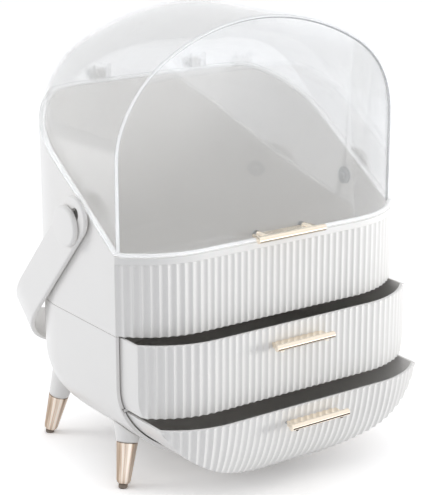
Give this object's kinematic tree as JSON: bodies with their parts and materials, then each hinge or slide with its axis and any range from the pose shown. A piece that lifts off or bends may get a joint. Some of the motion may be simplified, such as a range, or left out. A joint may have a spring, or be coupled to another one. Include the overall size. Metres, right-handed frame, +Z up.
{
  "type": "dustproof makeup organizer",
  "caption": "Egg-shaped cosmetics box with ribbed bow-front drawers, an open bin under a hinged clear dome, a swinging strap handle, bar pulls and splayed tipped legs.",
  "frame": {"origin": "on the floor, under the middle of the whole object's bounding box in the pose of the picture", "axes": "+X to the object's left-hand pull end seen from behind, which is the right in a front view; +Y to the back, where the lid is hinged; +Z up"},
  "size_m": [0.2802, 0.2574, 0.3514],
  "materials": {
    "white_plastic": "satin",
    "clear_dome": "clear polished",
    "gold_pull": "polished gold anodised",
    "champagne_ferrule": "polished champagne anodised",
    "zinc_steel": "zinc plated",
    "foot_rubber": "matt"
  },
  "bodies": {
    "box": {"lower_housing": "white_plastic", "drawer_shelf": "white_plastic", "upper_bin": "white_plastic", "leg_front_left": "white_plastic", "ferrule_front_left": "champagne_ferrule", "foot_pad_front_left": "foot_rubber", "leg_screw_front_left": "zinc_steel", "leg_front_right": "white_plastic", "ferrule_front_right": "champagne_ferrule", "foot_pad_front_right": "foot_rubber", "leg_screw_front_right": "zinc_steel", "leg_back_left": "white_plastic", "ferrule_back_left": "champagne_ferrule", "foot_pad_back_left": "foot_rubber", "leg_screw_back_left": "zinc_steel", "leg_back_right": "white_plastic", "ferrule_back_right": "champagne_ferrule", "foot_pad_back_right": "foot_rubber", "leg_screw_back_right": "zinc_steel", "bin_screw_left": "zinc_steel", "hinge_pin_left": "zinc_steel", "knob_left": "white_plastic", "pivot_washer_left": "zinc_steel", "pivot_screw_left": "zinc_steel", "bin_screw_right": "zinc_steel", "hinge_pin_right": "zinc_steel", "knob_right": "white_plastic", "pivot_washer_right": "zinc_steel", "pivot_screw_right": "zinc_steel"},
    "lid": {"lid_dome": "clear_dome", "lid_pull": "gold_pull", "lid_pull_screw_left": "zinc_steel", "lid_pull_screw_right": "zinc_steel"},
    "handle": {"carry_handle": "white_plastic"},
    "upper_drawer": {"middle_drawer": "white_plastic", "middle_pull": "gold_pull", "middle_pull_screw_left": "zinc_steel", "middle_pull_screw_right": "zinc_steel"},
    "lower_drawer": {"bottom_drawer": "white_plastic", "bottom_pull": "gold_pull", "bottom_pull_screw_left": "zinc_steel", "bottom_pull_screw_right": "zinc_steel"}
  },
  "joints": [
    {"name": "lid_hinge", "type": "hinge", "parent": "box", "child": "lid", "pos_m": [0, 0.10729, 0.29], "axis": [-1, 0, 0], "range_deg": [0, 95]},
    {"name": "handle_swing", "type": "hinge", "parent": "box", "child": "handle", "pos_m": [0, 0.00329, 0.2026], "axis": [1, 0, 0], "range_deg": [0, 225]},
    {"name": "upper_drawer_slide", "type": "slide", "parent": "box", "child": "upper_drawer", "axis": [0, -1, 0], "range_m": [-0.018, 0.075]},
    {"name": "lower_drawer_slide", "type": "slide", "parent": "box", "child": "lower_drawer", "axis": [0, -1, 0], "range_m": [-0.0367, 0.06]}
  ]
}
